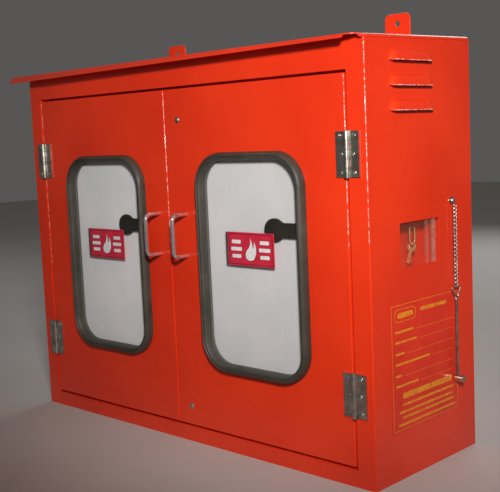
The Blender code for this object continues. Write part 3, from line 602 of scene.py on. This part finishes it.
def bevelled_plate(name, outline, y_back, y_front, edge):
    """A plate facing the front with a rounded front edge; the outline is (x, z), anticlockwise."""
    points = [Vector(p) for p in outline]
    count = len(points)

    least_lean = 0.35  # keeps sharp corners from running away

    def shrunk(inset):
        result = []
        for i, point in enumerate(points):
            before = (point - points[i - 1]).normalized()
            after = (points[(i + 1) % count] - point).normalized()
            normal = Vector((-(before.y + after.y), before.x + after.x)).normalized()
            lean = max(least_lean, normal.dot(Vector((-before.y, before.x))))
            result.append(point + normal * inset / lean)
        return result

    loops = [[(x, y_back, z) for x, z in points]]
    for x, y in arc((0, 0), edge, 180, 90, 3):
        loops.append([(p.x, y_front + edge - y, p.y) for p in shrunk(edge + x)])
    bm = bmesh.new()
    rows = bridge(bm, loops, closed=False)
    bm.faces.new(rows[0])
    bm.faces.new(rows[-1])
    return from_bmesh(name, bm)


def pull_tab(side):
    """The thick rubber tab: round head, slightly waisted neck."""
    node = f"{side}_pull_tab"
    a, b = low(node), high(node)
    centre = (a.x + TAB_W / 2, (a.z + b.z) / 2)
    neck = 10.2 * MM
    oval = arc((0, 0), 0.5, 48, 312, 24)
    outline = [(centre[0] + TAB_W * x, centre[1] + (b.z - a.z) * z) for x, z in oval]
    foot = outline[-1][0] + 4 * MM
    lower = [(foot, -neck), (b.x - 5 * MM, -neck - 0.3 * MM), (b.x, -neck - 0.8 * MM)]
    upper = [(x, -z) for x, z in reversed(lower)]
    outline += [(x, centre[1] + z) for x, z in lower + upper]
    mesh = bevelled_plate(f"{side}_pull_tab_rubber", outline, b.y, a.y, 1.0 * MM)
    finish_mesh(piece(f"{side}_pull_tab_rubber", mesh, TAB_RUBBER, "rubber", f"{side}_door", node), 50)


def flame(width, height, centre):
    """Outline of a plain flame: a drop with one notch, anticlockwise from its foot."""
    half = width / 2
    shape = [(0.0, -0.50), (0.55, -0.44), (0.92, -0.22), (1.0, 0.02), (0.86, 0.22), (0.66, 0.36)]
    shape += [(0.60, 0.14), (0.42, 0.04), (0.30, 0.26), (0.06, 0.50), (0.02, 0.28), (-0.18, 0.10)]
    shape += [(-0.62, -0.04), (-0.88, -0.22), (-0.78, -0.40), (-0.42, -0.48)]
    return [(centre[0] + x * half, centre[1] + z * height) for x, z in shape]


def flat_print(name, outlines, y, thick):
    """Flat printed shapes facing the front; an outline inside another is a hole, one inside that is solid."""
    curve = bpy.data.curves.new(name, "CURVE")
    curve.dimensions = "2D"
    curve.fill_mode = "BOTH"
    curve.extrude = thick / 2
    for outline in outlines:
        spline = curve.splines.new("POLY")
        spline.points.add(len(outline) - 1)
        for point, (x, z) in zip(spline.points, outline):
            point.co = (x, z, 0.0, 1.0)
        spline.use_cyclic_u = True
    obj = bpy.data.objects.new(name, curve)
    bpy.context.scene.collection.objects.link(obj)
    bpy.context.view_layer.update()
    evaluated = obj.evaluated_get(bpy.context.evaluated_depsgraph_get())
    mesh = bpy.data.meshes.new_from_object(evaluated)
    bpy.data.objects.remove(obj, do_unlink=True)
    bpy.data.curves.remove(curve)
    mesh.transform(Matrix.Translation((0, y, 0)) @ Matrix.Rotation(math.radians(90), 4, "X"))
    mesh.name = name
    return mesh


def sign(side):
    """A crimson plate on dark foam with a dark border, white bars and a white flame; no words. The foam's
    strip left of the plate is painted shadow.
    """
    node = f"{side}_sign_plate"
    body = f"{side}_door"
    a, b = low(node), high(node)
    ink = 0.1 * MM
    # the plate starts 4.5 mm in from the foam's left edge, so a dark strip of foam shows beside it: painted
    # shadow
    plate_x = (a.x + 4.5 * MM, b.x)
    front = a.y
    outline = rounded(plate_x, (a.z, b.z), 1.2 * MM, 3)
    mesh = bevelled_plate(f"{side}_sign_face", outline, front + 1.2 * MM, front, 0.4 * MM)
    finish_mesh(piece(f"{side}_sign_face", mesh, CRIMSON, "sign", body, node), 50)
    pad = rounded((a.x, b.x - 18 * MM), (a.z + 0.5 * MM, b.z - 0.5 * MM), 0.8 * MM, 3)
    mesh = bevelled_plate(f"{side}_sign_foam_and_shadow", pad, b.y, front + 0.5 * MM, 0.4 * MM)
    finish_mesh(piece(f"{side}_sign_foam_and_shadow", mesh, FOAM_AND_SHADOW, "rubber", body), 50)

    mid_x = (plate_x[0] + plate_x[1]) / 2
    mid_z = (a.z + b.z) / 2
    border = [
        rounded((plate_x[0] + d, plate_x[1] - d), (a.z + d, b.z - d), 1.5 * MM, 3)
        for d in (2.2 * MM, 3.2 * MM)
    ]
    glyphs = [flame(23 * MM, 33 * MM, (mid_x, mid_z))]
    high_half = 2.7 * MM
    for way in (-1, 1):
        for row in (-1, 0, 1):
            cx = mid_x + way * 28 * MM
            cz = mid_z + row * 10.5 * MM
            half = (11 - 2 * abs(row)) * MM
            glyphs.append(rounded((cx - half, cx + half), (cz - high_half, cz + high_half), 1.2 * MM, 3))
    rim = 1.1 * MM  # the dark rim round each white shape
    edged = []
    for glyph in glyphs:
        centre = Vector((sum(p[0] for p in glyph), sum(p[1] for p in glyph))) / len(glyph)
        grown = []
        for point in glyph:
            away = Vector(point) - centre
            grown.append(tuple(centre + away + away.normalized() * rim))
        edged.append(grown)
    mesh = flat_print(f"{side}_sign_outline", edged + border, front - 0.03 * MM, ink)
    piece(f"{side}_sign_outline", mesh, OUTLINE, "sign", body)
    mesh = flat_print(f"{side}_sign_flame", glyphs, front - 0.10 * MM, ink)
    piece(f"{side}_sign_flame", mesh, WHITE, "film", body)


# --------------------------------------------------------------------------- hardware
def handle(side):
    """Bent round bar with even bends."""
    node = f"{side}_handle"
    a, b = low(node), high(node)
    x = (a.x + b.x) / 2
    r = (b.x - a.x) / 2
    bar = a.y + r
    ends = (a.z + r, b.z - r)
    corners = [(x, b.y, ends[0]), (x, bar, ends[0]), (x, bar, ends[1]), (x, b.y, ends[1])]
    name = f"{side}_handle_bar"
    mesh = sweep_tube(name, smooth_path(corners, 9 * MM, 8), r, 20, (1, 0, 0))
    finish_mesh(piece(name, mesh, CHROME, "chrome", f"{side}_door", node), 60, weighted=False)


def screw_head(bm, centre, radius, turn):
    """A raised screw head facing the front, with one slot pressed into it at a turned angle."""
    rings = ((1.0, 0.0), (0.97, -0.22), (0.80, -0.50), (0.55, -0.68), (0.25, -0.74))
    slot_half = 0.18 * radius
    slot_depth = 0.45 * MM
    loops = []
    for reach, up in rings:
        points = []
        for x, z in arc((0, 0), radius * reach, turn, turn + 345, 23):
            off = abs(math.sin(math.radians(turn)) * x + math.cos(math.radians(turn)) * z)
            deep = slot_depth if off < slot_half and reach < 0.9 else 0.0
            points.append((centre[0] + x, centre[1] + up * MM + deep, centre[2] + z))
        loops.append(points)
    rows = bridge(bm, loops, closed=False)
    bm.faces.new(rows[0])
    bm.faces.new(rows[-1])


def hinge_screws(side, position):
    """Three screws in each leaf: two near the outer edge and one near the pin."""
    sign_x = SIDES[side]
    name = f"{side}_{position}_hinge"
    for leaf, way, body in (("frame_leaf", sign_x, "cabinet"), ("door_leaf", -sign_x, f"{side}_door")):
        node = f"{name}_{leaf}"
        a, b = low(node), high(node)
        axis = low(f"{name}_pin").x / 2 + high(f"{name}_pin").x / 2
        bm = bmesh.new()
        face = b.y - LEAF_THICK
        for dx, dz in SCREW_SPOTS:
            spot = (axis + way * dx, face, (a.z + b.z) / 2 + dz * (b.z - a.z))
            screw_head(bm, spot, SCREW_R, DICE.uniform(0, 180))
        mesh = from_bmesh(f"{node}_screws", bm)
        finish_mesh(piece(f"{node}_screws", mesh, ZINC, "zinc", body), 40, weighted=False)


def chain(name):
    """Twisted links along one length of the chain, leaning oval rings kept in its CAD box along X and Z."""
    a, b = low(name), high(name)
    x = (a.x + b.x) / 2
    y = (a.y + b.y) / 2
    length = b.z - a.z
    count = round(length / LINK_PITCH)
    pitch = length / count
    half_high = pitch * 0.5 + LINK_WIRE * 0.7
    turn = Matrix.Rotation(math.radians(52), 3, "Z")
    lean = Matrix.Rotation(math.radians(24), 3, "Y")
    steps, sides = 14, 7
    bm = bmesh.new()
    for i in range(count):
        centre = Vector((x, y, b.z - (i + 0.5) * pitch))
        loops = []
        for step in range(steps):
            t = 2 * math.pi * step / steps
            twist = LINK_TWIST * math.sin(2 * t)
            twisting = 2 * LINK_TWIST * math.cos(2 * t)
            spine = Vector((LINK_HALF_WIDTH * math.cos(t), twist, half_high * math.sin(t)))
            along = Vector((-LINK_HALF_WIDTH * math.sin(t), twisting, half_high * math.cos(t))).normalized()
            out = Vector((math.cos(t), 0.0, math.sin(t)))
            out = (out - along * out.dot(along)).normalized()
            other = along.cross(out)
            ring = []
            for k in range(sides):
                angle = 2 * math.pi * k / sides
                spot = spine + LINK_WIRE * (out * math.cos(angle) + other * math.sin(angle))
                ring.append(centre + turn @ (lean @ spot))
            loops.append(ring)
        bridge(bm, loops, closed=True)
    for vert in bm.verts:
        vert.co.x = min(max(vert.co.x, a.x), b.x)
        vert.co.z = min(max(vert.co.z, a.z), b.z)
    mesh = from_bmesh(f"{name}_links", bm)
    finish_mesh(piece(f"{name}_links", mesh, STEEL, "steel", name, name), 60, weighted=False)


def hammer_link():
    """Triangular wire link with rounded corners between the chain and the hammer."""
    a, b = low("hammer_link"), high("hammer_link")
    wire = (b.x - a.x) / 2
    x = (a.x + b.x) / 2
    y = (a.y + b.y) / 2
    half = (b.y - a.y) / 2 - wire
    top = b.z - wire
    foot = a.z + wire
    flat = 3.4 * MM  # half of the straight bottom
    corners = [(0.0, top), (-half, top), (-flat, foot), (flat, foot), (half, top), (0.0, top)]
    points = smooth_path([(x, y + dy, z) for dy, z in corners], 1.3 * MM, 5)
    mesh = sweep_tube("hammer_link_wire", points[:-1], wire, 10, (1, 0, 0), closed=True)
    obj = piece("hammer_link_wire", mesh, STEEL, "steel", "hammer_link", "hammer_link")
    finish_mesh(obj, 60, weighted=False)


def key_loop():
    """Round brass wire bent into a long loop."""
    a, b = low("key_loop"), high("key_loop")
    wire = (b.x - a.x) / 2
    x = (a.x + b.x) / 2
    y = (a.y + b.y) / 2
    r = (b.y - a.y) / 2 - wire
    top = b.z - wire - r
    foot = a.z + wire + r
    ring = arc((y, top), r, 0, 180, 14) + arc((y, foot), r, 180, 360, 14)
    mesh = sweep_tube("key_loop_wire", [(x, py, pz) for py, pz in ring], wire, 12, (1, 0, 0), closed=True)
    finish_mesh(piece("key_loop_wire", mesh, BRASS, "brass", "keys", "key_loop"), 60, weighted=False)


# --------------------------------------------------------------------------- label
def label_graphics():
    """A generic data plate: a frame line, a blank badge and rows of plain bars, with no lettering."""
    a, b = low("side_label"), high("side_label")
    face = b.x + 0.05 * MM
    width = b.y - a.y
    height = b.z - a.z

    def bar(y0, y1, z, thick):
        """A bar between two parts of the width, at a part of the height from the foot."""
        zc = a.z + z * height
        ys = (a.y + y0 * width, a.y + y1 * width)
        return rounded(ys, (zc - thick / 2, zc + thick / 2), thick * 0.35, 2)

    line = 0.8 * MM
    edge = 2 * MM
    outlines = []
    for d in (edge, edge + line):
        outlines.append(rounded((a.y + d, b.y - d), (a.z + d, b.z - d), 1.2 * MM, 3))
    badge_y = (a.y + 0.06 * width, a.y + 0.36 * width)
    badge_z = (a.z + 0.855 * height, a.z + 0.955 * height)
    badge_r = 7 * MM
    for d in (0.0, line):
        ys, zs = (badge_y[0] + d, badge_y[1] - d), (badge_z[0] + d, badge_z[1] - d)
        outlines.append(rounded(ys, zs, badge_r - d, 5))
    outlines.append(bar(0.10, 0.32, 0.905, 7.0 * MM))
    outlines.append(bar(0.43, 0.83, 0.915, 5.0 * MM))
    # filled-in rows: height, length of the bar, then a thin line to the right edge
    for z, reach in ((0.78, 0.27), (0.70, 0.31), (0.61, 0.13), (0.53, 0.50), (0.44, 0.08), (0.36, 0.32)):
        outlines.append(bar(0.06, 0.06 + reach, z, 3.0 * MM))
        outlines.append(bar(0.10 + reach, 0.93, z - 0.010, 0.45 * MM))
    outlines.append(bar(0.15, 0.90, 0.275, 8.0 * MM))
    # rows of small print: height, start and end
    for z, y0, y1 in ((0.205, 0.15, 0.92), (0.150, 0.10, 0.90), (0.105, 0.14, 0.93), (0.052, 0.08, 0.95)):
        outlines.append(bar(y0, y1, z, 3.2 * MM))
    mesh = flat_print("label_print", outlines, 0.0, 0.08 * MM)
    mesh.transform(Matrix.Translation((face, 0, 0)) @ Matrix.Rotation(math.radians(90), 4, "Z"))
    piece("label_print", mesh, PRINT, "label", "cabinet")


# --------------------------------------------------------------------------- CAD nodes that stay
BEVELS = {  # in mm
    "roof_panel": 0.6,
    "wall_lug_left": 0.7,
    "wall_lug_right": 0.7,
    "back_panel": 0.4,
    "bottom_panel": 0.4,
    "left_side_panel": 0.4,
    "right_side_panel": 0.4,
    "key_box": 0.4,
    "hose_hook_left": 0.8,
    "hose_hook_right": 0.8,
    "magnet_top": 0.8,
    "magnet_bottom": 0.8,
    "key": 0.3,
    "key_box_pane": 0.3,
}
FINE_BEVEL = 0.25
FINE_PARTS = ("leaf", "striker", "backing", "clip")


def dress_cad():
    """Every CAD node gets its slot's material, and the sharp edges of most a small bevel."""
    slots = {part["node"]: part["material_slot"] for part in frame["record"]["subparts"]}
    for name, obj in frame["nodes"].items():
        obj.data.materials.clear()
        obj.data.materials.append(SLOT_LOOKS[slots[name]])
        width = BEVELS.get(name)
        if width is None and any(part in name for part in FINE_PARTS):
            width = FINE_BEVEL
        if width:
            weld = obj.modifiers.new("weld", "WELD")
            weld.merge_threshold = 0.01 * MM
            bevel = obj.modifiers.new("soft edges", "BEVEL")
            bevel.width = width * MM
            bevel.segments = 3
            bevel.limit_method = "ANGLE"
            bevel.angle_limit = math.radians(40)
            bevel.harden_normals = True


# --------------------------------------------------------------------------- studio
def studio():
    """Pale floor, soft lights and the camera at the photographed angle."""
    bm = bmesh.new()
    bmesh.ops.create_grid(bm, x_segments=2, y_segments=2, size=6.0)
    mesh = from_bmesh("floor", bm)
    floor = bpy.data.objects.new("floor", mesh)
    bpy.context.scene.collection.objects.link(floor)
    m = Nodes("floor_paper", (0.62, 0.60, 0.58), 0.9, Specular_IOR_Level=0.1)
    m.colour(m.ramp(m.noise(3.0, 3.0), (0.3, (0.60, 0.58, 0.56)), (0.7, (0.64, 0.62, 0.60))))
    mesh.materials.append(m.material)

    def aim(name, light, place, target):
        """Put a light at a place, pointing at a target."""
        obj = bpy.data.objects.new(name, light)
        obj.location = place
        obj.rotation_euler = (Vector(target) - Vector(place)).to_track_quat("-Z", "Y").to_euler()
        bpy.context.scene.collection.objects.link(obj)

    def area(name, place, target, size, power, colour=(1.0, 1.0, 1.0)):
        light = bpy.data.lights.new(name, "AREA")
        light.shape = "RECTANGLE"
        light.size = size[0]
        light.size_y = size[1]
        light.energy = power
        light.color = colour
        aim(name, light, place, target)

    lamp = bpy.data.lights.new("key_light", "SPOT")
    lamp.energy = 138
    lamp.color = (1.0, 0.96, 0.91)
    lamp.spot_size = math.radians(52)
    lamp.spot_blend = 1.0
    lamp.shadow_soft_size = 0.09
    aim("key_light", lamp, (1.29, -1.15, 0.94), (0.27, -0.05, 0.55))
    area("side_fill", (2.4, -0.1, 1.1), (0.35, 0.0, 0.35), (0.9, 0.9), 1.5, (1.0, 0.95, 0.9))
    area("back_fill", (-0.6, 2.4, 1.5), (0.0, 0.0, 0.3), (1.6, 1.2), 16)

    world = bpy.data.worlds.new("studio")
    world.use_nodes = True
    background = world.node_tree.nodes["Background"]
    background.inputs["Color"].default_value = (0.88, 0.84, 0.80, 1.0)
    background.inputs["Strength"].default_value = 0.11
    bpy.context.scene.world = world
    bpy.context.scene.view_settings.view_transform = "Standard"

    camera = bpy.data.cameras.new("camera")
    camera.lens = 68.06
    camera.sensor_width = 36.0
    camera.clip_end = 50.0
    obj = bpy.data.objects.new("camera", camera)
    yaw, pitch, roll = (math.radians(v) for v in (44.179, -6.692, -2.556))
    place = Matrix.Translation((1.1048, -1.096, 0.4781))
    turn = Matrix.Rotation(yaw, 4, "Z") @ Matrix.Rotation(math.pi / 2 + pitch, 4, "X")
    obj.matrix_world = place @ turn @ Matrix.Rotation(roll, 4, "Z")
    bpy.context.scene.collection.objects.link(obj)
    bpy.context.scene.camera = obj


dress_cad()
frame_skin()
bend_highlights()
for SIDE in SIDES:
    louvre_lips(SIDE)
    door_skin(SIDE)
    gasket(SIDE)
    pull_tab(SIDE)
    sign(SIDE)
    handle(SIDE)
    for POSITION in ("lower", "upper"):
        hinge_screws(SIDE, POSITION)
for LENGTH in ("chain_upper", "chain_middle", "chain_lower"):
    chain(LENGTH)
hammer_link()
key_loop()
label_graphics()
studio()
